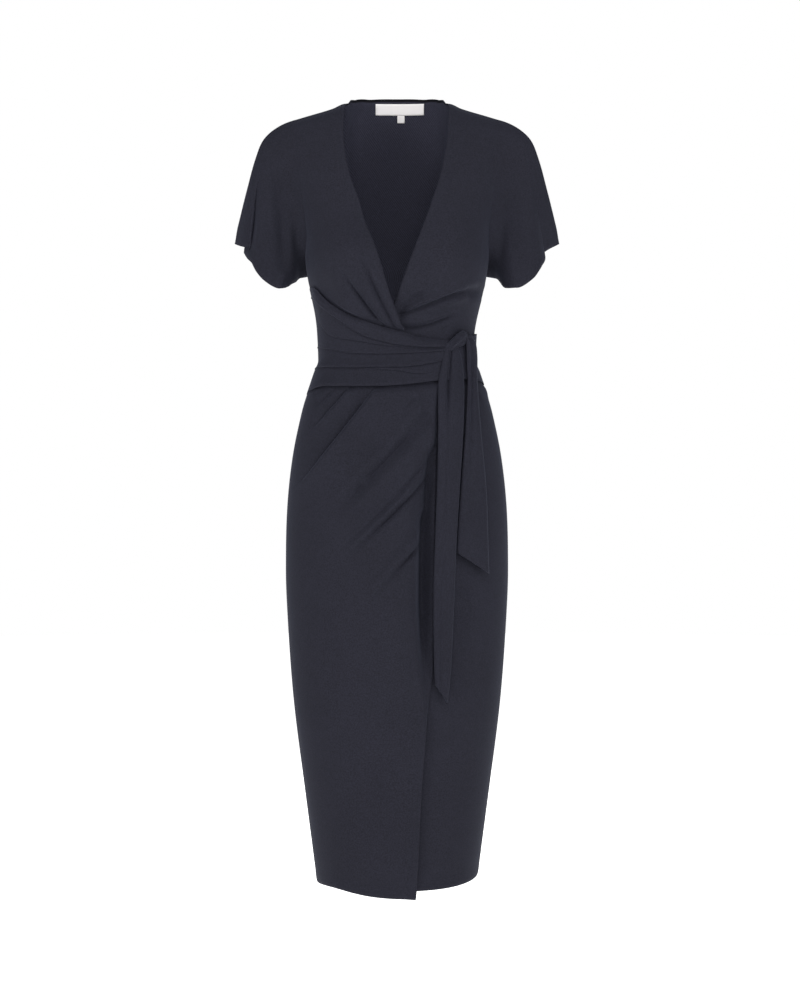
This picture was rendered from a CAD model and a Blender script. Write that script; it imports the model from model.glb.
from collections import namedtuple

import bmesh
import bpy
import numpy as np
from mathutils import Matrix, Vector


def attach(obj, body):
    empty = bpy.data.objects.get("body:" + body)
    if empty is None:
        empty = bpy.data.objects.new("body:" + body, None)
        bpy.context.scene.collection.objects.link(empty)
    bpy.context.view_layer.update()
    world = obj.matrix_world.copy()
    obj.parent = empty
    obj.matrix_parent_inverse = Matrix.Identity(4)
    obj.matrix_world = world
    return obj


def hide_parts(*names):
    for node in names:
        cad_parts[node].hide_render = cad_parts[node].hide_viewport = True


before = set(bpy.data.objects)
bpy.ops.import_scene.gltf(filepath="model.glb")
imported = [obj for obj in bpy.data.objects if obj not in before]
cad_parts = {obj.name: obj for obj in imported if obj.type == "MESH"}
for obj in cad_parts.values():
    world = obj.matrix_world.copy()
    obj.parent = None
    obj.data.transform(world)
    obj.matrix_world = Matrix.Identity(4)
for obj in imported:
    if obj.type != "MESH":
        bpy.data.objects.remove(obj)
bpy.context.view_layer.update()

bl_info = {
    "name": "Wrap dress",
    "version": (1, 0, 0),
    "blender": (4, 5, 0),
    "location": "3D View > Sidebar > Dress",
    "description": "Builds a filled-out jersey wrap dress on its frame, with its stage",
    "category": "Add Mesh",
}


def table(names, *rows):
    """Rows with named columns, of which the last may be left out where it is 0."""
    row = namedtuple("Row", names, defaults=[0])
    return [row(*values) for values in rows]


# All tables are in millimetres. Drops are measured down from the shoulder and neck points,
# x runs towards the wearer's left, and the front of the dress faces -Y.

UNDERARM = 261
# Rows lie closer together towards the shoulder by this power
TOP_CROWDING = 1.6
SEAM_GAP = 0.04
WAIST = 385
BODICE_END = WAIST - SEAM_GAP / 2
SKIRT_START = WAIST + SEAM_GAP / 2
OVERLAY_END = 1169.5
UNDERLAY_END = 1157
NECK_HALF = 77
UNDERLAY_EDGE = -42

RISE = "out up"
EDGE = "drop x"
CUFF = "round out ahead drop"
HEM = "turn drop"
END = "drop left right off"
FOLD = "x0 z0 x1 z1 x2 z2 wide deep kind enter leave lap"

# Level sections of the form: half width, depth in front and behind, and squareness of the curve
SECTIONS = table(
    "drop half front back square",
    (0, 172, 0, 0, 2.2), (10, 172, 24, 26, 2.2), (30, 171, 42, 44, 2.25),
    (60, 168, 58, 62, 2.3), (100, 162, 74, 76, 2.4), (150, 152, 90, 85, 2.5),
    (200, 142, 102, 88, 2.6), (261, 134, 108, 84, 2.6), (300, 125.5, 101, 77, 2.5),
    (330, 118.5, 93, 74, 2.4), (355, 115.5, 86, 72, 2.4), (385, 115, 85, 74, 2.4),
    (410, 122, 88, 80, 2.35), (440, 135.5, 94, 91, 2.3), (487, 147.8, 101, 105, 2.3),
    (535, 156.8, 104, 115, 2.3), (607, 164.3, 107, 121, 2.3), (700, 166.5, 108, 119, 2.3),
    (775, 163.5, 108, 115, 2.3), (895, 154.5, 108, 108, 2.3), (1015, 139.5, 107, 102, 2.3),
    (1135, 123.8, 106, 98, 2.3), (1175, 118.5, 106, 97, 2.3),
)

# How far the form stands above its drops near the shoulders, and behind the neck
SHOULDER = table(RISE, (0, -1), (77, -1), (97, -8.8), (136, -20.5), (172, -31.5), (260, -60))
NAPE = table(RISE, (0, 68), (40, 62), (60, 47), (70, 24)) + SHOULDER[1:]
NECK_BACK = table("out drop", (0, 45), (40, 40), (60, 27), (70, 11), (77, 0))

RIGHT_NECKLINE = table(
    EDGE,
    (0, -77), (34, -79), (60, -78.5), (92, -74.8), (123, -67.7), (156, -56.2),
    (196, -45), (234, -31.6), (272, -18.4), (309, -5.3), (346, 9.6), (385, 27),
)
LEFT_NECKLINE = table(
    EDGE,
    (0, 77), (34, 76), (60, 74.6), (92, 69.5), (124, 62.6), (156, 52.5),
    (196, 39), (234, 24.5), (272, 10.3), (309, -4.3), (346, -20), (385, -38),
)
OVERLAY_EDGE = table(
    EDGE,
    (385, 66), (430, 61), (530, 57), (620, 55), (740, 53), (848, 51.7),
    (888, 45), (947, 39.8), (1014, 35), (1080, 31.8), (1159, 27.7), (1175, 26),
)

BUST = table("x drop out wide tall", (84, 246, 15, 46, 62))[0]

# Where the sleeves begin, and the lines of their cuffs from the overarm round to the underarm
ARMHOLE = table("down turn", (0, 59), (0.35, 60), (0.6, 63), (0.8, 70), (0.92, 79), (1, 90))
RIGHT_CUFF = table(
    CUFF,
    (0, 241, 0, 211.5), (0.16, 222, 24, 222), (0.32, 213, 44, 246), (0.41, 206, 53, 260),
    (0.5, 195, 60, 273), (0.68, 172, 62, 285.5), (0.84, 160, 40, 280), (1, 151, 0, 264),
)
LEFT_CUFF = table(
    CUFF,
    (0, 241, 0, 211.5), (0.16, 218, 24, 228), (0.32, 214, 42, 248), (0.41, 208, 52, 259),
    (0.5, 200, 59, 270), (0.68, 176, 62, 284.5), (0.84, 160, 42, 282.5), (1, 151, 0, 264),
)
BACK_CUFF = table(
    CUFF,
    (0, 241, 0, 211.5), (0.12, 226, 20, 214), (0.3, 211, 40, 226), (0.5, 196, 54, 243),
    (0.7, 178, 56, 256), (0.88, 160, 33, 264), (1, 151, 0, 264),
)
# How far the overarm line swells outward on its way from the shoulder to the cuff
OVERARM_SWELL = table(
    "along out",
    (0, 0), (0.1, 6), (0.25, 11), (0.4, 7.5), (0.6, 5), (0.85, 5.4), (1, 2.5),
)
# How the cloth doubles over itself near the outer corner of each sleeve opening
RIGHT_TUCK = table(
    CUFF,
    (0, 0, 0, 0), (0.06, -5, 11, 3.5), (0.11, -11, 14, 5), (0.15, -3, 1, 4),
    (0.19, 7, -13, 1), (0.24, 5, -9, 2), (0.33, 0, 0, 0), (1, 0, 0, 0),
)
LEFT_TUCK = table(
    CUFF,
    (0, 0, 0, 0), (0.08, -3, 5, 2), (0.14, -5, 7, 4), (0.19, 0, 0, 2),
    (0.24, 4, -6, -1), (0.34, 0, 0, 0), (1, 0, 0, 0),
)

# Folds run through three points seen from the front, and fade in and out over the shares of their
# length named enter and leave. A lap stands up on the right of its line, going from the first
# point to the last, and its lip reaches over the line by its lap.
RIGHT_BODICE_FOLDS = table(
    FOLD,
    (-186, -84, -152, -160, -135, -238, 25, 3.5, "valley", 0.35, 0.25),
    (-187, -84, -174, -150, -165, -252, 8, 2.4, "valley", 0.3, 0),
    (-161, -165, -158, -212, -156, -266, 7, 3.5, "ridge", 0.4, 0),
    (-214, -128, -213.5, -175, -213, -228, 6, 1.2, "valley", 0.6, 0),
    (-99, -226, -67, -281, -20, -343, 10, 3.6, "valley", 0.7, 0.1),
    (-84, -256, -58, -293, -20, -342, 3, 5, "crease", 0.8, 0),
    (-59, -231, -37, -279, -4, -342, 3, 5, "crease", 0.7, 0),
    (-80, -252, -50, -287, -14, -335, 5, 2.2, "ridge", 0.4, 0.1),
    (-34, -250, -22, -282, 0, -326, 5, 1.2, "ridge", 0.4, 0.2),
)
LEFT_BODICE_FOLDS = table(
    FOLD,
    (182, -90, 158, -165, 142, -240, 24, 2, "valley", 0.35, 0.25),
    (178, -95, 161, -172, 151, -251, 6, 1, "valley", 0.3, 0.1),
    (2, -325, 25, -306, 51, -293, 5, 4, "valley", 0, 0.4),
    (5, -328, 56, -308.5, 119, -285, 3.6, 6, "crease", 0, 0.3),
    (8, -320, 56, -301, 118, -277, 8, 3.6, "ridge", 0.2, 0.5),
    (36, -326, 72, -312, 116, -294, 5, 3, "ridge", 0.3, 0.3),
    (11, -346, 51, -340, 99, -318, 4, 5.5, "crease", 0, 0.35),
    (98, -300, 110, -292, 122, -287, 7, 4, "valley", 0.4, 0),
)
OVERLAY_FOLDS = table(
    FOLD,
    (-106, -431, -116, -436, -127, -441, 2.5, 2.5, "crease", 0, 0.4),
    (-93, -434, -107, -446, -122, -459, 2.5, 4, "crease", 0, 0.5),
    (-139, -507, -97, -464, -69, -433, 12, 7, "lap", 0.5, 0),
    (-138, -507, -96, -464, -68, -433, 2.6, 4, "crease", 0.4, 0),
    (-156, -585, -85, -503, -31, -433, 16, 10, "lap", 0.4, 0),
    (-155, -585, -84, -503, -30, -433, 2.8, 5, "crease", 0.3, 0),
    (30, -444, 18, -456, 4, -470, 3, 2, "crease", 0.3, 0.5),
    (54, -461, -13, -536, -99, -621, 9, 5, "valley", 0.1, 0.3),
    (40, -477, -20, -543, -82, -604, 2.2, 2.2, "crease", 0.3, 0.4),
    (54, -531, -4, -604, -90, -683, 4, 4, "ridge", 0, 0.45),
    (48, -528, -9, -600, -92, -676, 2.2, 2.6, "crease", 0.15, 0.45),
    (58, -541, 2, -609, -84, -688, 2.6, 5.5, "crease", 0, 0.45),
    (52, -617, 15, -664, -50, -737, 5, 5, "ridge", 0, 0.5),
    (56, -628, 22, -671, -42, -745, 2.6, 6, "crease", 0, 0.5),
    (24, -680, 9, -700, 1, -726, 5, 2, "ridge", 0.3, 0.5),
)
UNDERLAY_FOLDS = table(
    FOLD,
    (112, -432, 120, -446, 128, -462, 4, 1.6, "valley", 0, 0.5),
    (95, -680, 90, -760, 86, -840, 14, 2.5, "valley", 0.3, 0.5),
)
BACK_FOLDS = table(
    FOLD,
    (172, -100, 150, -170, 134, -238, 22, 6, "valley", 0.35, 0.25),
    (20, -300, 50, -290, 96, -270, 8, 1.6, "valley", 0.4, 0.3),
    (30, -322, 62, -316, 100, -300, 8, 1.6, "valley", 0.4, 0.3),
)
SKIRT_BACK_FOLDS = table(
    FOLD,
    (-70, -436, -84, -470, -104, -520, 9, 2.5, "valley", 0, 0.5),
    (-20, -436, -26, -480, -36, -540, 10, 2.2, "valley", 0, 0.5),
    (42, -434, 50, -474, 62, -530, 9, 2.2, "valley", 0, 0.5),
    (90, -432, 104, -464, 122, -505, 8, 2.2, "valley", 0, 0.5),
)
SASH_BACK_FOLDS = table(
    FOLD,
    (112, -362, 10, -352, -110, -318, 11, 3, "lap", 0.05, 0.05, 1.5),
    (112, -384, 0, -380, -112, -366, 9, 2.6, "lap", 0.05, 0.05, 1.5),
    (112, -402, 0, -404, -114, -400, 11, 3.4, "lap", 0.05, 0.05, 2),
    (20, -392, -20, -394, -70, -388, 6, 1.4, "valley", 0.3, 0.3),
)

# Drops of the sash's edges and of the lines where one lap of it lies over the next
SASH_FRONT = table(
    "turn top roll fold band lap flap bottom",
    (-90, 280, 292, 318, 367, 399.5, 412, 438),
    (-75, 281.5, 295, 324, 368, 400, 412, 435),
    (-62, 285.5, 301.5, 336, 371, 400.8, 411, 433.2),
    (-50, 302.2, 314.5, 352, 373.8, 401.6, 410, 431.1),
    (-40, 315, 327, 358, 377.3, 402.2, 409, 431.5),
    (-30, 325.6, 340.2, 361, 380.9, 402.9, 408, 431.8),
    (-20, 333.5, 354.1, 364.8, 381.9, 403, 406.5, 432.2),
    (-10, 340.6, 362.2, 368.8, 382.7, 403, 406.5, 432.5),
    (0, 348.1, 368.4, 372.4, 382.3, 402.6, 408.6, 430.8),
    (10, 357.4, 371.5, 374.6, 381, 400.4, 412.5, 428),
    (20, 360.5, 371.8, 374.8, 379.3, 396.3, 412, 424.9),
    (33, 362.5, 370.5, 373, 376.5, 391, 409, 423),
    (50, 358, 364.5, 368.5, 373, 388, 404, 421),
    (90, 346, 355, 364, 374, 388, 405, 424),
)
# Each lap ends at its line in a rounded lip, raised by deep and reaching over the line
SASH_LAPS = table(
    "line deep over first last rows",
    ("roll", 3.8, 1.7, -100, 33, 16),
    ("fold", 2.2, 1.1, -66, 2, 16),
    ("band", 2.6, 1.2, -100, 35, 13),
    ("lap", 4.2, 1.9, -100, 29, 17),
    ("flap", 2.2, 0.9, -12, 18, 10),
)
# How a lip turns from its crest back under the cloth, and the same rows where it lies flat
LIP = table(
    "ahead level flat",
    (0.5, 0.93, -0.6), (1, 0.7, -0.2), (0.95, 0.42, 0.2), (0.45, 0.18, 0.6), (-0.35, 0.04, 1),
)
# How far the sash stands off the form in front and behind, and where it meets the side seams
SASH_STAND = 4.6
SASH_SIDE = table(
    "drop off",
    (280, 0.8), (309, 1.2), (330, 2.6), (355, 3.7), (391, 3), (404, 4.2),
    (416, 3.7), (428, 2), (438, 0.8),
)
SASH_BACK = table("turn top bottom", (-90, 280, 438), (-50, 307, 432), (0, 330, 428), (90, 346, 424))

OVERLAY_HEM = table(HEM, (-90, 1164), (-50, 1160.5), (-10, 1168.5), (12, 1171.5))
UNDERLAY_HEM = table(HEM, (-30, 1161), (33, 1158.5), (90, 1151))
BACK_HEM = table(HEM, (-90, 1165), (0, 1158), (90, 1151))

# Where the overlay starts to turn in beside the hanging ends, and how high it stands there
TURNING = table(
    "drop x puff",
    (385, 60, 3), (430, 55, 6), (480, 49, 11), (515, 46, 16), (530, 38, 19),
    (560, 34, 21), (605, 33.5, 22), (625, 27, 23), (660, 25, 24), (740, 24, 22),
    (800, 26, 18), (860, 31, 12), (900, 37, 7), (950, 39.5, 5), (1014, 35, 4),
    (1175, 27, 3),
)

# The hanging ends of the sash: side edges, and how far they stand off the form
SHORT_TIE = table(
    END,
    (352, 93, 105, 12), (372, 93.5, 107, 14), (398, 94.5, 108.5, 14), (430, 97, 111, 13),
    (491, 95, 117, 12), (560, 90, 123.5, 12), (640, 84.5, 126.5, 12), (671, 83, 127.5, 12),
)
LONG_TIE = table(
    END,
    (372, 68, 87, 9), (400, 62, 91, 10.5), (430, 57.5, 93.5, 11), (491, 57, 91.5, 13),
    (560, 56, 87, 15), (640, 53, 82, 16), (740, 50.5, 78, 15), (830, 51.7, 74, 12),
    (862, 53.5, 71, 10),
)


def smooth(start, end, value):
    t = np.clip((np.asarray(value, float) - start) / (end - start), 0, 1)
    return t * t * (3 - 2 * t)


def mix(a, b, t):
    return a + (b - a) * t


def bell(value, middle, wide):
    return np.exp(-((value - middle) / wide) ** 2)


def curve(rows, key, column, at):
    """A smooth curve through one named column of a table, without overshoot."""
    x = np.array([getattr(row, key) for row in rows], float)
    y = np.array([getattr(row, column) for row in rows], float)
    slope = np.diff(y) / np.diff(x)
    before, after = slope[:-1], slope[1:]
    limit = 3 * np.minimum(abs(before), abs(after))
    inner = np.where(before * after <= 0, 0, np.clip((before + after) / 2, -limit, limit))
    tangent = np.concatenate([slope[:1], inner, slope[-1:]])
    q = np.clip(at, x[0], x[-1])
    k = np.clip(np.searchsorted(x, q) - 1, 0, len(x) - 2)
    span = x[k + 1] - x[k]
    t = (q - x[k]) / span
    hermite = mix(y[k], y[k + 1], t * t * (3 - 2 * t))
    return hermite + t * (1 - t) ** 2 * span * tangent[k] + t * t * (t - 1) * span * tangent[k + 1]


def length(vectors):
    return np.linalg.norm(vectors, axis=-1, keepdims=True)


def shares(count):
    return np.arange(count + 1) / count


def unit_grid(rows, columns):
    """Shares down and across a grid, from 0 to 1."""
    return np.meshgrid(shares(rows), shares(columns), indexing="ij")


def body(turn, drop, side):
    """Points of the filled-out form at a turn in degrees and a drop; side is -1 in front, 1 behind."""
    turn, drop = np.broadcast_arrays(np.asarray(turn, float), np.asarray(drop, float))
    half = curve(SECTIONS, "drop", "half", drop)
    square = curve(SECTIONS, "drop", "square", drop)
    depth = curve(SECTIONS, "drop", "front" if side < 0 else "back", drop)
    across = np.sin(np.radians(turn))
    ahead = np.maximum(0, np.cos(np.radians(turn)))
    x = half * np.sign(across) * np.abs(across) ** (2 / square)
    rise = curve(SHOULDER if side < 0 else NAPE, "out", "up", np.abs(x))
    z = -drop + rise * (1 - smooth(0, UNDERARM, drop))
    y = depth * ahead ** (2 / square)
    if side < 0:
        mound = ((np.abs(x) - BUST.x) / BUST.wide) ** 2 + ((z + BUST.drop) / BUST.tall) ** 2
        y = y + BUST.out * np.exp(-mound) * np.minimum(1, 2 * ahead)
    return np.stack([x, side * (y + SEAM_GAP / 2), z], -1)


def turn_at(x, drop):
    half = curve(SECTIONS, "drop", "half", drop)
    square = curve(SECTIONS, "drop", "square", drop)
    share = np.clip(np.abs(x) / half, 0, 1)
    return np.sign(x) * np.degrees(np.arcsin(share ** (square / 2)))


def drop_behind(x, z):
    """Drop at which the cloth behind the neck has height z."""
    low, high = np.zeros(np.shape(x)), np.full(np.shape(x), float(UNDERARM))
    rise = curve(NAPE, "out", "up", np.abs(x))
    for _ in range(40):
        middle = (low + high) / 2
        above = -middle + rise * (1 - smooth(0, UNDERARM, middle)) > z
        low, high = np.where(above, middle, low), np.where(above, high, middle)
    return (low + high) / 2


# Straight steps in a fold's line
FOLD_STEPS = 14
# The grid is drawn together at least this far on both sides of a fold, unless it is a broad one
GATHER = 5
BROAD = 14
# The back's inner face, seen through the neck, lies this far along the texture, in metres
INSIDE_SHIFT = 10
# Height of the dark bound edge inside the nape, in metres
NAPE_BINDING = 0.0044


def fold_line(fold):
    t = np.linspace(0, 1, FOLD_STEPS + 1)[:, None]
    first, middle, last = np.array([[fold.x0, fold.z0], [fold.x1, fold.z1], [fold.x2, fold.z2]], float)
    return 2 * (t - 0.5) * (t - 1) * first + 4 * t * (1 - t) * middle + 2 * t * (t - 0.5) * last


def beside(fold, x, z):
    """Points near a fold: a mask, then their distance, offset, heading and share along its line."""
    line = fold_line(fold)
    reach = 3.2 * max(fold.wide, GATHER)
    near = (x > line[:, 0].min() - reach) & (x < line[:, 0].max() + reach)
    near &= (z > line[:, 1].min() - reach) & (z < line[:, 1].max() + reach)
    point = np.stack([x[near], z[near]], -1)[:, None]
    start, step = line[:-1], np.diff(line, axis=0)
    share = np.clip(((point - start) * step).sum(-1) / (step ** 2).sum(-1), 0, 1)
    away = point - start - share[..., None] * step
    distance = np.hypot(away[..., 0], away[..., 1])
    best = distance.argmin(1)
    pick = np.arange(len(best))
    along = (best + share[pick, best]) / FOLD_STEPS
    return near, distance[pick, best], away[pick, best], step[best], along


def fold_field(folds, x, z):
    """Height that the folds add at points seen from the front, and how far their lips slide."""
    height = np.zeros(x.shape)
    slide = np.zeros(x.shape + (2,))
    for fold in folds:
        near, d, off, heading, along = beside(fold, x, z)
        right = np.where(heading[:, 0] * off[:, 1] - heading[:, 1] * off[:, 0] >= 0, -1.0, 1.0)
        strength = fold.deep * np.ones(len(d))
        if fold.enter:
            strength *= smooth(0, fold.enter, along)
        if fold.leave:
            strength *= smooth(0, fold.leave, 1 - along)
        u = d / fold.wide
        if fold.kind == "valley":
            height[near] -= strength * (1.25 * bell(u, 0, 1) - 0.25 * bell(u, 1.6, 0.9))
        elif fold.kind == "crease":
            sharp = np.exp(-np.sqrt(u ** 2 + 0.01))
            height[near] -= strength * (1.3 * sharp - 0.3 * bell(u, 1.5, 1))
        elif fold.kind == "ridge":
            height[near] += strength * bell(u, 0, 1)
        else:
            raised = smooth(-0.7, 0.7, right * d)
            trough = 0.25 * (1 - raised) * bell(u, 0, 0.45)
            height[near] += strength * (raised * bell(u, 0, 1) - trough)
            normal = np.stack([-heading[:, 1], heading[:, 0]], -1)
            normal /= length(normal)
            reachover = fold.lap * strength / fold.deep * raised * bell(u, 0, 0.6)
            slide[near] += normal * reachover[:, None]
    return height, slide


def drift(x, z, seed, size=70.0):
    """Slow unevenness of hanging jersey, from -1 to 1."""
    rng = np.random.default_rng(seed)
    total = np.zeros(x.shape)
    for _ in range(7):
        angle, phase = rng.uniform(0, 2 * np.pi, 2)
        length = size * rng.uniform(0.6, 1.8)
        total += np.sin(2 * np.pi * (x * np.cos(angle) + 0.45 * z * np.sin(angle)) / length + phase)
    return total / 7


class Cloth:
    """A grid of points in millimetres that becomes a thin shell of jersey."""

    def __init__(self, points, outer_first, present=None, seam=None):
        self.points = np.array(points, float)
        rows, columns = self.points.shape[:2]
        self.outer_first = outer_first
        self.present = np.ones((rows - 1, columns - 1), bool) if present is None else present
        self.seam = np.zeros((rows, columns), bool) if seam is None else seam
        i, j = np.nonzero(self.present)
        corner = i * columns + j
        self.quads = np.stack([corner, corner + columns, corner + columns + 1, corner + 1], -1)
        self.flat = self.lengths()

    def lengths(self):
        """Distances along the cloth, kept from before it is folded: across each row, down each column."""
        across = np.linalg.norm(np.diff(self.points, axis=1), axis=2)
        down = np.linalg.norm(np.diff(self.points, axis=0), axis=2)
        u = np.concatenate([np.zeros((len(across), 1)), np.cumsum(across, 1)], 1)
        v = np.concatenate([np.zeros((1, down.shape[1])), np.cumsum(down, 0)], 0)
        return np.stack([u, v], -1)

    def seen(self):
        """Coordinates across and up, as seen from the front."""
        return self.points[..., 0], self.points[..., 2]

    def from_hem(self):
        return self.flat[-1:, :, 1] - self.flat[..., 1]

    def from_last(self):
        return self.flat[:, -1:, 0] - self.flat[..., 0]

    def normals(self):
        flat = self.points.reshape(-1, 3)
        a, b, c, d = (flat[self.quads[:, k]] for k in range(4))
        face = np.cross(c - a, d - b)
        face /= np.maximum(length(face), 1e-9) * (-1 if self.outer_first else 1)
        total = np.zeros_like(flat)
        for k in range(4):
            np.add.at(total, self.quads[:, k], face)
        total[self.seam.reshape(-1), 1] = 0
        size = length(total)
        return (total / np.where(size > 0, size, 1)).reshape(self.points.shape)

    def raise_by(self, height):
        self.points += self.normals() * np.asarray(height)[..., None]

    def slide_by(self, slide):
        """Moves points sideways, as seen from the front, without leaving the cloth's surface."""
        n = self.normals()
        steep = np.where(np.abs(n[..., 1]) < 0.3, np.sign(n[..., 1] + 1e-9) * 0.3, n[..., 1])
        dx, dz = (np.where(self.seam, 0, slide[..., k]) for k in (0, 1))
        self.points += np.stack([dx, -(n[..., 0] * dx + n[..., 2] * dz) / steep, dz], -1)

    def gather(self, folds, free):
        """Draws the grid together along each fold, so that its crest and its crease are drawn finely."""
        for fold in folds:
            if fold.wide > BROAD:
                continue
            near, d, off, _, along = beside(fold, self.points[..., 0], self.points[..., 2])
            ends = smooth(0, max(fold.enter, 0.03), along) * smooth(0, max(fold.leave, 0.03), 1 - along)
            move = np.zeros(near.shape + (2,))
            move[near] = -off * (0.72 * ends * bell(d, 0, max(fold.wide, GATHER)))[:, None]
            self.slide_by(move * free[..., None])
        self.flat = self.lengths()

    def sew(self, name, wall, inside_shift=0):
        """Builds the piece in jersey, with its wall in metres."""
        return self.build(name, wall * 1000, jersey(), inside_shift)

    def build(self, name, wall, material, inside_shift=0):
        count = self.points.shape[0] * self.points.shape[1]
        used = np.unique(self.quads)
        order = np.full(count, -1)
        order[used] = np.arange(len(used))
        outer = self.points.reshape(-1, 3)[used]
        inner = outer - self.normals().reshape(-1, 3)[used] * wall
        quads = order[self.quads]
        n = len(used)
        if self.outer_first:
            quads = quads[:, ::-1]
        edges = np.concatenate([quads[:, [k, (k + 1) % 4]] for k in range(4)])
        both = {(int(a), int(b)) for a, b in edges}
        rim = np.array([(a, b) for a, b in map(tuple, edges) if (b, a) not in both])
        sides = np.stack([rim[:, 1], rim[:, 0], rim[:, 0] + n, rim[:, 1] + n], -1)
        faces = np.concatenate([quads, quads[:, ::-1] + n, sides])
        verts = np.concatenate([outer, inner]) / 1000
        uv = self.flat.reshape(-1, 2)[used] / 1000
        return make_mesh(name, verts, faces, np.concatenate([uv, uv + [0, inside_shift]]), material)


def make_mesh(name, verts, faces, uv, material):
    mesh = bpy.data.meshes.new(name)
    mesh.vertices.add(len(verts))
    mesh.vertices.foreach_set("co", np.asarray(verts, np.float32).ravel())
    mesh.loops.add(faces.size)
    mesh.loops.foreach_set("vertex_index", faces.ravel().astype(np.int32))
    mesh.polygons.add(len(faces))
    mesh.polygons.foreach_set("loop_start", np.arange(0, faces.size, 4, dtype=np.int32))
    mesh.polygons.foreach_set("loop_total", np.full(len(faces), 4, np.int32))
    mesh.polygons.foreach_set("use_smooth", np.ones(len(faces), bool))
    layer = mesh.uv_layers.new(name="cut")
    layer.data.foreach_set("uv", np.asarray(uv, np.float32)[faces.ravel()].ravel())
    mesh.update()
    mesh.validate()
    piece = bpy.data.objects.new(name, mesh)
    bpy.context.scene.collection.objects.link(piece)
    piece.data.materials.append(material)
    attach(piece, "root")
    return piece


def hem_profile(distance, seam_at):
    """Height of a turned and stitched edge, by distance from it."""
    folded = 0.35 * (1 - smooth(seam_at, seam_at + 2, distance))
    groove = 0.3 * bell(distance, seam_at, 1.3)
    edge = 0.5 * bell(distance, 0, 1.6)
    return folded - groove - edge


def sash_edge(turn, column):
    return curve(SASH_FRONT, "turn", column, turn)


def cuff_points(rows, hand, side, down, gap):
    out, ahead, drop = (curve(rows, "round", column, down) for column in ("out", "ahead", "drop"))
    return np.stack([hand * out, side * (ahead + gap), -drop], -1)


def sleeve_rows(hand, side, down, cuff, tuck, columns):
    """Rows of a sleeve from the armhole to the cuff; down runs from the shoulder to the underarm."""
    drop = UNDERARM * down ** TOP_CROWDING
    turn = hand * curve(ARMHOLE, "down", "turn", down)
    start = body(turn, drop, side)
    tangent = start - body(turn - hand, drop, side)
    tangent /= length(tangent)
    end = cuff_points(cuff, hand, side, down, SEAM_GAP / 2)
    reach = length(end - start)
    straight = (end - start) / np.maximum(reach, 1e-6)
    leave = mix(tangent, straight, down[:, None] ** 3)
    leave = leave / length(leave) * reach
    hang = np.stack([straight[:, 0] * 0.55, straight[:, 1] * 0.3, -np.ones(len(down))], -1)
    arrive = mix(hang, straight, 0.5 + 0.5 * down[:, None])
    arrive = arrive / length(arrive) * reach * 0.8
    t = shares(columns)[None, 1:, None]
    s, l, e, a = (v[:, None] for v in (start, leave, end, arrive))
    rows = s * (1 + 2 * t) * (1 - t) ** 2 + l * t * (1 - t) ** 2
    rows = rows + e * t * t * (3 - 2 * t) + a * t * t * (t - 1)
    rows[..., 0] += hand * curve(OVERARM_SWELL, "along", "out", t[..., 0]) * (1 - down[:, None]) ** 2
    if tuck:
        rows += cuff_points(tuck, hand, side, down, 0)[:, None] * smooth(0.35, 1, t)
    for row in (down == 0, down == 1):
        rows[row, :, 1] = side * SEAM_GAP / 2
    return rows


def bodice_front(props, name, hand):
    """One front of the bodice, with the front of its sleeve cut on."""
    right = hand < 0
    neckline = RIGHT_NECKLINE if right else LEFT_NECKLINE
    torso, sleeve, yoke, lower = 112, 40, 126, 84
    down = shares(yoke)
    drop = np.concatenate([UNDERARM * down ** TOP_CROWDING,
                           mix(UNDERARM, BODICE_END, shares(lower)[1:])])
    first = turn_at(curve(neckline, "drop", "x", drop), drop)
    level = np.arange(len(drop))
    last = hand * np.where(level < yoke, curve(ARMHOLE, "down", "turn", np.minimum(1, level / yoke)), 90)
    grid = body(mix(first[:, None], last[:, None], shares(torso)), drop[:, None], -1)
    cuff, tuck = (RIGHT_CUFF, RIGHT_TUCK) if right else (LEFT_CUFF, LEFT_TUCK)
    arm = sleeve_rows(hand, -1, down, cuff, tuck, sleeve)
    arm = np.concatenate([arm, np.repeat(grid[yoke + 1:, -1:], sleeve, 1)])
    points = np.concatenate([grid, arm], 1)
    rows, columns = points.shape[:2]
    i, j = np.indices((rows, columns))
    present = (j[:-1, :-1] < torso) | (i[:-1, :-1] < yoke)
    seam = (i == 0) | ((i >= yoke) & (j >= torso))
    cloth = Cloth(points, right, present, seam)
    folds = RIGHT_BODICE_FOLDS if right else LEFT_BODICE_FOLDS
    free = smooth(0, 8, i) * smooth(0, 8, j) * smooth(0, 8, rows - 1 - i) * smooth(0, 8, columns - 1 - j)
    cloth.gather(folds, free * smooth(0, 10, torso - j))
    x, z = cloth.seen()
    height, _ = fold_field(folds, x, z)
    edge = curve(RIGHT_NECKLINE, "drop", "x", -z)
    clear = smooth(1, 9, sash_edge(turn_at(x, np.maximum(-z, UNDERARM)), "top") + z)
    side_fade = smooth(0, 6, i) * np.where(i >= yoke, smooth(0, 10, torso - j), 1)
    if not right:
        clear = clear * smooth(1, 8, x - edge)
    valley = height if right else height * smooth(-4, 2, x - edge)
    height = np.where(height > 0, height * clear, valley) * side_fade
    height += 0.5 * drift(x, z, 3 if right else 4) * side_fade * clear
    height += hem_profile(cloth.flat[..., 0], 9) * smooth(0, 6, i)
    height += np.where((j >= torso) & (i <= yoke), hem_profile(cloth.from_last(), 12), 0) * side_fade
    if right:
        over = smooth(-110, -52, x) * smooth(180, 240, -z)
        covers = smooth(-62, -44, x) * smooth(262, 282, -z)
        height = np.maximum(over * mix(2.4, 11, clear) + height, mix(-20, 1.7, covers))
    cloth.raise_by(height)
    return cloth.sew(name, props.wall)


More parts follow.
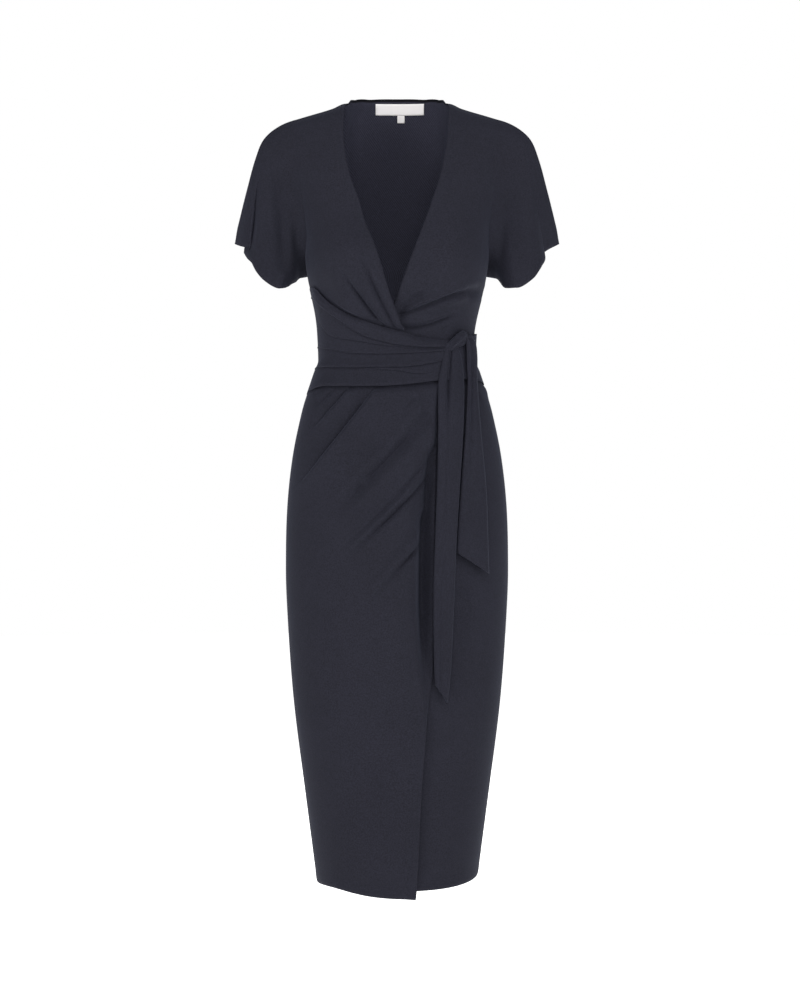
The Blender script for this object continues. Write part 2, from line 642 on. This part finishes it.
def bodice_back(props):
    """The back of the bodice with both sleeve backs cut on."""
    side_columns, neck_columns, sleeve, yoke, lower = 22, 40, 26, 90, 40
    down = shares(yoke)
    rows = yoke + lower + 1
    neck_turn = float(turn_at(NECK_HALF, 0))
    down_all = np.minimum(1, np.arange(rows) / yoke)
    side = np.where(np.arange(rows) < yoke, curve(ARMHOLE, "down", "turn", down_all), 90)[:, None]
    a, b = shares(side_columns), shares(neck_columns)[:-1]
    turn = np.concatenate([mix(-side, -neck_turn, a[:-1]), np.tile(mix(-neck_turn, neck_turn, b), (rows, 1)),
                           mix(neck_turn, side, a)], 1)
    start = curve(NECK_BACK, "out", "drop", NECK_HALF * np.minimum(1, np.abs(turn) / neck_turn))
    drop = mix(start, UNDERARM, down_all[:, None] ** TOP_CROWDING)
    below = np.maximum(0, np.arange(rows) - yoke)[:, None] / lower
    drop = np.where(below > 0, mix(UNDERARM, BODICE_END, below), drop)
    grid = body(turn, drop, 1)
    arms = []
    for hand, column in ((-1, 0), (1, -1)):
        arm = sleeve_rows(hand, 1, down, BACK_CUFF, None, sleeve)
        arms.append(np.concatenate([arm, np.repeat(grid[yoke + 1:, column][:, None], sleeve, 1)]))
    points = np.concatenate([arms[0][:, ::-1], grid, arms[1]], 1)
    columns = points.shape[1]
    i, j = np.indices((rows, columns))
    first, last = sleeve, sleeve + 2 * side_columns + neck_columns
    present = ((j >= first) & (j < last))[:-1, :-1] | (i[:-1, :-1] < yoke)
    in_neck = (j > first + side_columns) & (j < last - side_columns)
    seam = ((i == 0) & ~in_neck) | ((i >= yoke) & ((j <= first) | (j >= last)))
    cloth = Cloth(points, True, present, seam)
    x, z = cloth.seen()
    fade = smooth(0, 6, i) * smooth(0, 6, j - first + 6) * smooth(0, 6, last + 6 - j)
    height, _ = fold_field(BACK_FOLDS, np.abs(x), z)
    calm = smooth(0, 20, curve(SASH_BACK, "turn", "top", turn_at(x, np.maximum(-z, UNDERARM))) + z)
    height = (height + 0.5 * drift(x, z, 8)) * fade * calm
    aside = np.abs(j - (first + last) / 2)
    nape = 1 - smooth(neck_columns / 2 - 4, neck_columns / 2, aside)
    height += hem_profile(cloth.flat[..., 1], 8) * nape
    cloth.raise_by(height)
    return cloth.sew("back_bodice", props.wall, INSIDE_SHIFT)


def whole_side(v, u):
    return mix(-90, 90, u)


def down_to(hem):
    """Drops of a skirt's panel, from the waist seam down to its hem."""
    return lambda v, turn: mix(SKIRT_START, curve(hem, "turn", "drop", turn), v)


def panel(side, columns, rows, turns, drops, seam_columns):
    """A cloth on one side of the form, with its turns and drops given by shares down and across."""
    v, u = unit_grid(rows, columns)
    turn = turns(v, u)
    points = body(turn, drops(v, turn), side)
    seam = np.zeros(u.shape, bool)
    seam[:, seam_columns] = True
    return Cloth(points, side > 0, None, seam), u, v


def recess(x, drop):
    """How far both front layers fall back between the overlay's roll and the hanging ends."""
    course = mix(44, 37, smooth(500, 620, drop))
    return 15 * bell(x, course, 12) * smooth(500, 600, drop) * (1 - smooth(730, 870, drop))


def skirt_overlay(props):
    def turns(v, u):
        drop = mix(SKIRT_START, OVERLAY_END, v)
        return mix(-90, turn_at(curve(OVERLAY_EDGE, "drop", "x", drop), drop), u ** 0.92)

    cloth, u, v = panel(-1, 150, 290, turns, down_to(OVERLAY_HEM), [0])
    cloth.gather(OVERLAY_FOLDS, smooth(0, 0.06, u) * smooth(0, 0.05, 1 - u) * smooth(0, 0.02, v))
    x, z = cloth.seen()
    drop = -z
    turning = curve(TURNING, "drop", "x", drop)
    puff = curve(TURNING, "drop", "puff", drop)
    clear = smooth(1, 10, drop - sash_edge(turn_at(x, drop), "bottom"))
    over = smooth(-112, -56, x)
    lying = over * 2.0
    belly = puff * smooth(-125, -16, x - turning) ** 1.3 * (1 - 0.25 * smooth(-24, 2, x - turning)) * clear
    fall = 1 - smooth(turning, turning + 11, x) * smooth(425, 450, drop) * (1 - smooth(905, 960, drop))
    height, _ = fold_field(OVERLAY_FOLDS, x, z)
    side_fade = smooth(0, 0.06, u)
    height = (height * clear + 0.5 * drift(x, z, 5, 110) * clear) * side_fade
    free = (1 - smooth(0, 14, cloth.from_last())) * smooth(880, 950, drop)
    height = lying + (belly + height) * fall + 2.2 * free
    height += hem_profile(cloth.from_hem(), 16) * side_fade
    height += hem_profile(cloth.from_last(), 14)
    floor = mix(-14, 2.0, smooth(-62, -46, x))
    cloth.raise_by(np.maximum(height, floor) - recess(x, drop))
    return cloth.sew("front_skirt_right", props.wall)


def side_swell(drop):
    """How the skirt swells out below the sash at the left side seam."""
    return 2.2 * bell(drop, 431, 9)


def skirt_underlay(props):
    def turns(v, u):
        drop = mix(SKIRT_START, UNDERLAY_END, v)
        return mix(turn_at(np.full(v.shape, float(UNDERLAY_EDGE)), drop), 90, u)

    cloth, u, v = panel(-1, 64, 190, turns, down_to(UNDERLAY_HEM), [-1])
    x, z = cloth.seen()
    height, _ = fold_field(UNDERLAY_FOLDS, x, z)
    clear = smooth(425, 445, -z) * smooth(40, 64, x) * smooth(0, 0.08, 1 - u)
    height = np.minimum(height * clear, 0) + 0.5 * drift(x, z, 6, 110) * clear
    height += hem_profile(cloth.from_hem(), 16) * clear
    height += side_swell(-z) * smooth(0.8, 0.96, u)
    cloth.raise_by(height - recess(x, -z))
    return cloth.sew("front_skirt_left", props.wall)


def skirt_back(props):
    cloth, u, v = panel(1, 96, 190, whole_side, down_to(BACK_HEM), [0, -1])
    x, z = cloth.seen()
    fade = smooth(0, 0.06, u) * smooth(0, 0.06, 1 - u)
    height, _ = fold_field(SKIRT_BACK_FOLDS, x, z)
    height = (height + 0.7 * drift(x, z, 9, 120)) * fade * smooth(432, 470, -z)
    height += hem_profile(cloth.from_hem(), 16) * fade
    height += side_swell(-z) * smooth(0.88, 0.98, u)
    cloth.raise_by(height)
    return cloth.sew("back_skirt", props.wall)


def outward(turn, drop, side):
    """Directions square to the form, level across the side seams."""
    across = body(turn + 0.5, drop, side) - body(turn - 0.5, drop, side)
    down = body(turn, drop + 1, side) - body(turn, drop - 1, side)
    normal = np.cross(across, down) * side
    normal[..., 1] = np.where(np.abs(turn) > 89.9, 0, normal[..., 1])
    return normal / length(normal)


def side_lift(turn, drop):
    return mix(SASH_STAND, curve(SASH_SIDE, "drop", "off", drop), smooth(0.5, 0.84, np.abs(turn) / 90))


def sash_front(props):
    """The sash over the front: laps that lie over each other, each ending in a rounded lip."""
    columns = 240
    turn = mix(-90, 90, shares(columns))
    beyond = smooth(56, 64, turn) * (1 - smooth(80, 90, turn))
    start, floor = sash_edge(turn, "top"), np.zeros(columns + 1)
    drops, heights = [start], [floor]
    for lap in SASH_LAPS:
        line = sash_edge(turn, lap.line)
        shown = smooth(lap.first - 10, lap.first + 6, turn) * (1 - smooth(lap.last - 7, lap.last + 7, turn))
        deep = lap.deep * shown + 2.2 * beyond
        crest = line - 1.2
        for step in shares(lap.rows)[1:]:
            drops.append(mix(start, crest, step))
            heights.append(mix(floor, deep, step ** 1.5) + 0.5 * np.sin(np.pi * step) * shown)
        for lip in LIP:
            drops.append(line + mix(lip.flat, lip.ahead * lap.over, shown))
            heights.append(deep * lip.level)
        start, floor = drops[-1], heights[-1]
    bottom = sash_edge(turn, "bottom")
    for step in shares(14)[1:]:
        drops.append(mix(start, bottom, step))
        heights.append(mix(floor, 1.4, step))
    turn, drop, height = np.broadcast_arrays(turn, np.array(drops), np.array(heights))
    points = body(turn, drop, -1)
    x, z = points[..., 0], points[..., 2]
    to_top = drop - sash_edge(turn, "top")
    to_bottom = sash_edge(turn, "bottom") - drop
    sides = smooth(86, 52, np.abs(turn))
    knot = np.exp(-((x - 84) / 22) ** 2 - ((z + 362) / 14) ** 2)
    roll = 2.6 * smooth(0, 6, to_top) * smooth(-4, 5, to_bottom)
    height = (roll + height + 0.4 * drift(x, z, 7, 50)) * sides * (1 - 0.8 * knot)
    points += outward(turn, drop, -1) * (side_lift(turn, drop) + np.maximum(height, -0.6))[..., None]
    seam = np.abs(turn) > 89.9
    return Cloth(points, False, None, seam).sew("front_sash", props.wall)


def sash_back(props):
    def drops(v, turn):
        return mix(curve(SASH_BACK, "turn", "top", turn), curve(SASH_BACK, "turn", "bottom", turn), v)

    cloth, u, v = panel(1, 120, 40, whole_side, drops, [0, -1])
    x, z = cloth.seen()
    height, slide = fold_field(SASH_BACK_FOLDS, x, z)
    sides = smooth(0.02, 0.2, u) * smooth(0.02, 0.2, 1 - u)
    to_top = cloth.flat[..., 1]
    to_bottom = cloth.flat[-1:, :, 1] - to_top
    roll = 2.4 * smooth(0, 7, to_top) * smooth(-4, 5, to_bottom)
    lift = side_lift(mix(-90, 90, u), -z)
    cloth.slide_by(slide * sides[..., None])
    cloth.raise_by(lift + np.maximum((roll + height) * sides, -0.6))
    return cloth.sew("back_sash", props.wall)


def tie(props, name, end, slant, profile):
    """A hanging end of the sash, sewn double, as one closed band."""
    columns, rows = 22, 170
    v, u = unit_grid(rows, columns)
    level = mix(end[0].drop, end[-1].drop, v)
    drop = level + slant * u * v
    left, right = (curve(end, "drop", column, level) for column in ("left", "right"))
    x = mix(left, right, u)
    cloth = Cloth(body(turn_at(x, drop), drop, -1), False)
    edge = np.minimum(u, 1 - u) * (right - left)
    rounded = -1.4 * bell(edge, 0, 1.6)
    cloth.raise_by(curve(end, "drop", "off", level) + rounded + profile(u, v))
    return cloth.sew(name, props.tie_wall)


def short_profile(u, v):
    valley = -3.2 * bell(u, 0.36, 0.13) * (1 - smooth(0.35, 0.8, v))
    swell = 1.5 * np.sin(np.pi * u) + 1.2 * smooth(0.5, 1, u) * smooth(0.3, 0.8, v)
    return valley + swell - 4 * (1 - smooth(0, 0.035, v))


def long_profile(u, v):
    valley = -8 * bell(u, 0.38, 0.07) * (1 - smooth(0.1, 0.26, v))
    crease = -1.2 * bell(u, 0.42, 0.07) * smooth(0.1, 0.3, v)
    return valley + crease + 1.4 * np.sin(np.pi * u) - 2 * (1 - smooth(0, 0.03, v))


def knot(props):
    """The half-knot: the sash drawn to a narrow neck and turned over the short end."""
    columns, rows = 40, 30
    v, u = unit_grid(rows, columns)
    x = mix(64, 97, u)
    middle = mix(375, 357, smooth(0, 1, u))
    half = mix(6, 11.5, smooth(0, 0.8, u)) * (1 - 0.25 * smooth(0.85, 1, u))
    drop = middle + half * (2 * v - 1)
    cloth = Cloth(body(turn_at(x, drop), drop, -1), False)
    dome = np.sqrt(np.clip(1 - (2 * v - 1) ** 2, 0, 1))
    twist = 1.6 * np.sin(2 * np.pi * (v * 1.6 + u * 0.9)) * dome * np.sin(np.pi * u)
    cloth.raise_by(6.2 + 6.5 * dome * smooth(0, 0.35, u) * (1 - 0.5 * smooth(0.8, 1, u)) + twist)
    return cloth.sew("sash_half_knot", props.wall)


def neck_patch(name, left, right, top, bottom, lift):
    """A patch of woven tape inside the back of the neck."""
    columns, rows = max(6, int((right - left) / 1.5)), max(6, int((top - bottom) / 1.5))
    x, z = np.meshgrid(np.linspace(left, right, columns + 1), np.linspace(top, bottom, rows + 1))
    drop = drop_behind(x, z)
    cloth = Cloth(body(turn_at(x, drop), drop, 1), True)
    cloth.raise_by(-lift)
    return cloth.build(name, 0.5, label_tape())


# Materials


class Wire:
    """One socket of a node tree, so that shader maths reads as plain expressions."""

    def __init__(self, tree, socket):
        self.tree, self.socket = tree, socket

    def _math(self, operation, first, second):
        return node(self.tree, "Math", {"operation": operation}, {0: first, 1: second})

    def __add__(self, other):
        return self._math("ADD", self, other)

    __radd__ = __add__

    def __sub__(self, other):
        return self._math("SUBTRACT", self, other)

    def __rsub__(self, other):
        return self._math("SUBTRACT", other, self)

    def __mul__(self, other):
        return self._math("MULTIPLY", self, other)

    __rmul__ = __mul__


def node(tree, kind, settings=None, inputs=None, output=0):
    """Adds a shader node: settings first, then values or links for its sockets; returns one output."""
    made = tree.nodes.new("ShaderNode" + kind)
    for key, value in (settings or {}).items():
        setattr(made, key, value)
    for key, value in (inputs or {}).items():
        if isinstance(value, Wire):
            tree.links.new(value.socket, made.inputs[key])
        else:
            made.inputs[key].default_value = value
    return Wire(tree, made.outputs[output])


def new_material(name, colour, roughness, sheen, sheen_roughness):
    material = bpy.data.materials.new(name)
    material.use_nodes = True
    material.diffuse_color = (*colour, 1)
    shader = material.node_tree.nodes["Principled BSDF"]
    shader.inputs["Roughness"].default_value = roughness
    shader.inputs["Specular IOR Level"].default_value = 0.12
    shader.inputs["Sheen Weight"].default_value = sheen
    shader.inputs["Sheen Roughness"].default_value = sheen_roughness
    return material, material.node_tree, shader


def connect(tree, wire, socket):
    tree.links.new(wire.socket, socket)


def opaque(colour):
    return (*colour, 1) if isinstance(colour, tuple) else colour


def mixed(tree, factor, a, b):
    return node(tree, "Mix", {"data_type": "RGBA", "clamp_factor": True},
                {0: factor, 6: opaque(a), 7: opaque(b)}, 2)


def shade(colour, factor):
    return tuple(min(1.0, c * factor) for c in colour)


def jersey():
    """Matte knit: wales of small loops, a soft bloom and faint unevenness of the dye."""
    if "navy_jersey" in bpy.data.materials:
        return bpy.data.materials["navy_jersey"]
    props = bpy.context.scene.wrap_dress
    colour = tuple(props.jersey_colour)
    material, tree, shader = new_material("navy_jersey", colour, 0.86, 0.07, 0.45)
    shader.inputs["Sheen Tint"].default_value = (0.45, 0.5, 0.72, 1)
    cut = node(tree, "UVMap", {"uv_map": "cut"})
    place = node(tree, "TexCoord", output=3)
    wale = 2 * np.pi / props.knit_gauge  # a wave texture of scale 1 has 20 radians to the metre
    wales = node(tree, "TexWave", {"bands_direction": "X"},
                 {"Vector": cut, "Scale": wale / 20, "Distortion": 0.6, "Detail": 1.0,
                  "Detail Scale": 2.0}, 1)
    courses = node(tree, "TexWave", {"bands_direction": "Y"},
                   {"Vector": cut, "Scale": wale / 20 * 1.25, "Distortion": 0.6, "Detail": 1.0}, 1)
    loops = wales * 0.6 + courses * 0.4
    grain = node(tree, "TexNoise", {},
                 {"Vector": place, "Scale": 520.0, "Detail": 3.0, "Roughness": 0.6})
    cloud = node(tree, "TexNoise", {},
                 {"Vector": place, "Scale": 9.0, "Detail": 4.0, "Roughness": 0.55})
    tone = loops * 0.3 + (grain - 0.5) * 3.0 + (cloud - 0.5) * 0.6 + 0.35
    face = mixed(tree, tone, shade(colour, 0.72), shade(colour, 1.3))
    purl = node(tree, "TexWave", {"bands_direction": "X"},
                {"Vector": cut, "Scale": 92.0, "Distortion": 4.0, "Detail": 1.0, "Detail Scale": 0.25}, 1)
    inside = mixed(tree, purl * 0.9 + (grain - 0.5) * 2, shade(colour, 1.45), shade(colour, 2.6))
    along = node(tree, "SeparateXYZ", {}, {"Vector": cut}, 1)
    reverse = node(tree, "Math", {"operation": "GREATER_THAN"}, {0: along, 1: INSIDE_SHIFT * 0.99})
    bound = node(tree, "Math", {"operation": "LESS_THAN"},
                 {0: along, 1: INSIDE_SHIFT + NAPE_BINDING})
    inside = mixed(tree, bound, inside, shade(colour, 0.3))
    connect(tree, mixed(tree, reverse, face, inside), shader.inputs["Base Color"])
    connect(tree, 0.8 + grain * 0.12, shader.inputs["Roughness"])
    bump = node(tree, "Bump", {},
                {"Height": loops * 0.6 + grain * 0.5, "Strength": 0.25, "Distance": 0.0004})
    connect(tree, bump, shader.inputs["Normal"])
    return material


def label_tape():
    """White satin-woven tape with fine cross ribs."""
    if "white_tape" in bpy.data.materials:
        return bpy.data.materials["white_tape"]
    colour = tuple(bpy.context.scene.wrap_dress.label_colour)
    material, tree, shader = new_material("white_tape", colour, 0.6, 0.1, 0.4)
    cut = node(tree, "UVMap", {"uv_map": "cut"})
    ribs = node(tree, "TexWave", {"bands_direction": "Y"}, {"Vector": cut, "Scale": 420.0}, 1)
    connect(tree, mixed(tree, ribs, shade(colour, 0.95), colour), shader.inputs["Base Color"])
    bump = node(tree, "Bump", {}, {"Height": ribs, "Strength": 0.3, "Distance": 0.0002})
    connect(tree, bump, shader.inputs["Normal"])
    return material


# Settings, operators and panel


class DressSettings(bpy.types.PropertyGroup):
    wall: bpy.props.FloatProperty(
        name="Jersey thickness", description="Thickness of each layer of jersey",
        default=0.0009, min=0.0005, max=0.003, unit="LENGTH")
    tie_wall: bpy.props.FloatProperty(
        name="Hanging end thickness", description="Thickness of the hanging ends, which are sewn double",
        default=0.002, min=0.001, max=0.005, unit="LENGTH")
    knit_gauge: bpy.props.FloatProperty(
        name="Knit gauge", description="Width of one wale of the knit",
        default=0.0011, min=0.0005, max=0.004, unit="LENGTH")
    jersey_colour: bpy.props.FloatVectorProperty(
        name="Jersey colour", description="Main colour of the dress",
        default=(0.0119, 0.0120, 0.0184), min=0, max=1, size=3, subtype="COLOR")
    label_colour: bpy.props.FloatVectorProperty(
        name="Label colour", description="Colour of the bare neck label and size tab",
        default=(0.72, 0.70, 0.70), min=0, max=1, size=3, subtype="COLOR")
    floor_drop: bpy.props.FloatProperty(
        name="Floor below shoulders", description="How far the floor lies below the shoulders",
        default=1.46, min=1.2, max=3, unit="LENGTH")


class BodiceOperator(bpy.types.Operator):
    """Build both fronts and the back of the bodice"""
    bl_idname = "dress.bodice"
    bl_label = "Bodice"

    def execute(self, context):
        props = context.scene.wrap_dress
        right = bodice_front(props, "front_bodice_right", -1)
        left = bodice_front(props, "front_bodice_left", 1)
        back = bodice_back(props)
        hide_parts("bodice_right")
        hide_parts("bodice_left")
        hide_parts("bodice_back")
        return {"FINISHED"}


class SkirtOperator(bpy.types.Operator):
    """Build the lapped fronts and the back of the skirt"""
    bl_idname = "dress.skirt"
    bl_label = "Skirt"

    def execute(self, context):
        props = context.scene.wrap_dress
        over = skirt_overlay(props)
        under = skirt_underlay(props)
        back = skirt_back(props)
        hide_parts("skirt_overlay")
        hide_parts("skirt_underlay")
        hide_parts("skirt_back")
        return {"FINISHED"}


class SashOperator(bpy.types.Operator):
    """Build the sash, its half-knot and its hanging ends"""
    bl_idname = "dress.sash"
    bl_label = "Sash, knot and ends"

    def execute(self, context):
        props = context.scene.wrap_dress
        front = sash_front(props)
        back = sash_back(props)
        half_knot = knot(props)
        short = tie(props, "sash_end_short", SHORT_TIE, 31, short_profile)
        long = tie(props, "sash_end_long", LONG_TIE, 26, long_profile)
        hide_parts("sash_front")
        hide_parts("sash_back")
        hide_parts("sash_knot")
        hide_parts("tie_short")
        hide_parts("tie_long")
        return {"FINISHED"}


class LabelOperator(bpy.types.Operator):
    """Build the bare neck label and size tab"""
    bl_idname = "dress.label"
    bl_label = "Neck label"

    def execute(self, context):
        label = neck_patch("neck_label_tape", -33, 41.5, 11, -5.2, 1.6)
        tab = neck_patch("size_tab_tape", 0.5, 11.5, -4.4, -16.4, 1.5)
        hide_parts("neck_label")
        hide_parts("size_tab")
        return {"FINISHED"}


class StageOperator(bpy.types.Operator):
    """Build the pale floor, the soft studio light and the camera"""
    bl_idname = "dress.stage"
    bl_label = "Stage"

    def execute(self, context):
        props = context.scene.wrap_dress
        mesh = bpy.data.meshes.new("floor")
        shape = bmesh.new()
        bmesh.ops.create_circle(shape, cap_ends=True, segments=96, radius=9)
        shape.to_mesh(mesh)
        shape.free()
        floor = bpy.data.objects.new("floor", mesh)
        floor.location = (0, 0, -props.floor_drop)
        context.scene.collection.objects.link(floor)
        material, tree, shader = new_material("pale_floor", (0.9, 0.9, 0.9), 0.8, 0, 0.5)
        shader.inputs["Base Color"].default_value = (0.9, 0.9, 0.9, 1)
        shader.inputs["Emission Color"].default_value = (1, 1, 1, 1)
        shader.inputs["Emission Strength"].default_value = 1.0
        mesh.materials.append(material)
        lamps = [
            ("front", (0.2, -3.6, 0.5), (0, 0, -0.6), 1.5, 1.2, 34),
            ("key", (-2.3, -1.9, 0.3), (0, 0, -0.6), 0.9, 1.6, 38),
            ("fill", (2.3, -1.9, 0.1), (0, 0, -0.6), 0.9, 1.6, 33),
            ("top", (0, -1.9, 1.7), (0, 0, -0.3), 1.2, 1.0, 27),
            ("back", (0.0, 3.0, 0.2), (0, 0, -0.6), 1.6, 2.0, 40),
        ]
        for name, place, aim, wide, tall, power in lamps:
            lamp = bpy.data.lights.new(name, "AREA")
            lamp.shape = "RECTANGLE"
            lamp.size, lamp.size_y, lamp.energy = wide, tall, power
            holder = bpy.data.objects.new(name, lamp)
            holder.location = place
            holder.rotation_euler = (Vector(aim) - Vector(place)).to_track_quat("-Z", "Y").to_euler()
            context.scene.collection.objects.link(holder)
        world = bpy.data.worlds.new("studio")
        context.scene.world = world
        world.use_nodes = True
        tree = world.node_tree
        tree.nodes.clear()
        seen = node(tree, "LightPath", output="Is Camera Ray")
        glow = node(tree, "Background", {}, {"Color": (1, 1, 1, 1), "Strength": 0.2})
        backdrop = node(tree, "Background", {}, {"Color": (1, 1, 1, 1), "Strength": 1.0})
        chosen = node(tree, "MixShader", {}, {0: seen, 1: glow, 2: backdrop})
        out = tree.nodes.new("ShaderNodeOutputWorld")
        tree.links.new(chosen.socket, out.inputs["Surface"])
        lens = bpy.data.cameras.new("camera")
        lens.sensor_fit = "VERTICAL"
        lens.sensor_height = 36
        lens.lens = 64.8
        camera = bpy.data.objects.new("camera", lens)
        camera.location = (0.0045, -2.7, -0.5955)
        camera.rotation_euler = (np.pi / 2, 0, 0)
        context.scene.collection.objects.link(camera)
        context.scene.camera = camera
        context.scene.view_settings.view_transform = "Standard"
        context.scene.view_settings.look = "None"
        return {"FINISHED"}


class DressPanel(bpy.types.Panel):
    """Settings and pieces of the dress"""
    bl_idname = "DRESS_PT_main"
    bl_label = "Wrap dress"
    bl_space_type = "VIEW_3D"
    bl_region_type = "UI"
    bl_category = "Dress"

    def draw(self, context):
        props = context.scene.wrap_dress
        for name in ("wall", "tie_wall", "knit_gauge", "jersey_colour", "label_colour", "floor_drop"):
            self.layout.prop(props, name)
        for operator in PIECES:
            self.layout.operator(operator.bl_idname)


PIECES = (BodiceOperator, SkirtOperator, SashOperator, LabelOperator, StageOperator)
CLASSES = (DressSettings, *PIECES, DressPanel)


def register():
    for cls in CLASSES:
        bpy.utils.register_class(cls)
    bpy.types.Scene.wrap_dress = bpy.props.PointerProperty(type=DressSettings)


def unregister():
    del bpy.types.Scene.wrap_dress
    for cls in reversed(CLASSES):
        bpy.utils.unregister_class(cls)


def main():
    register()
    bpy.ops.dress.bodice()
    bpy.ops.dress.skirt()
    bpy.ops.dress.sash()
    bpy.ops.dress.label()
    bpy.ops.dress.stage()


if __name__ == "__main__":
    main()
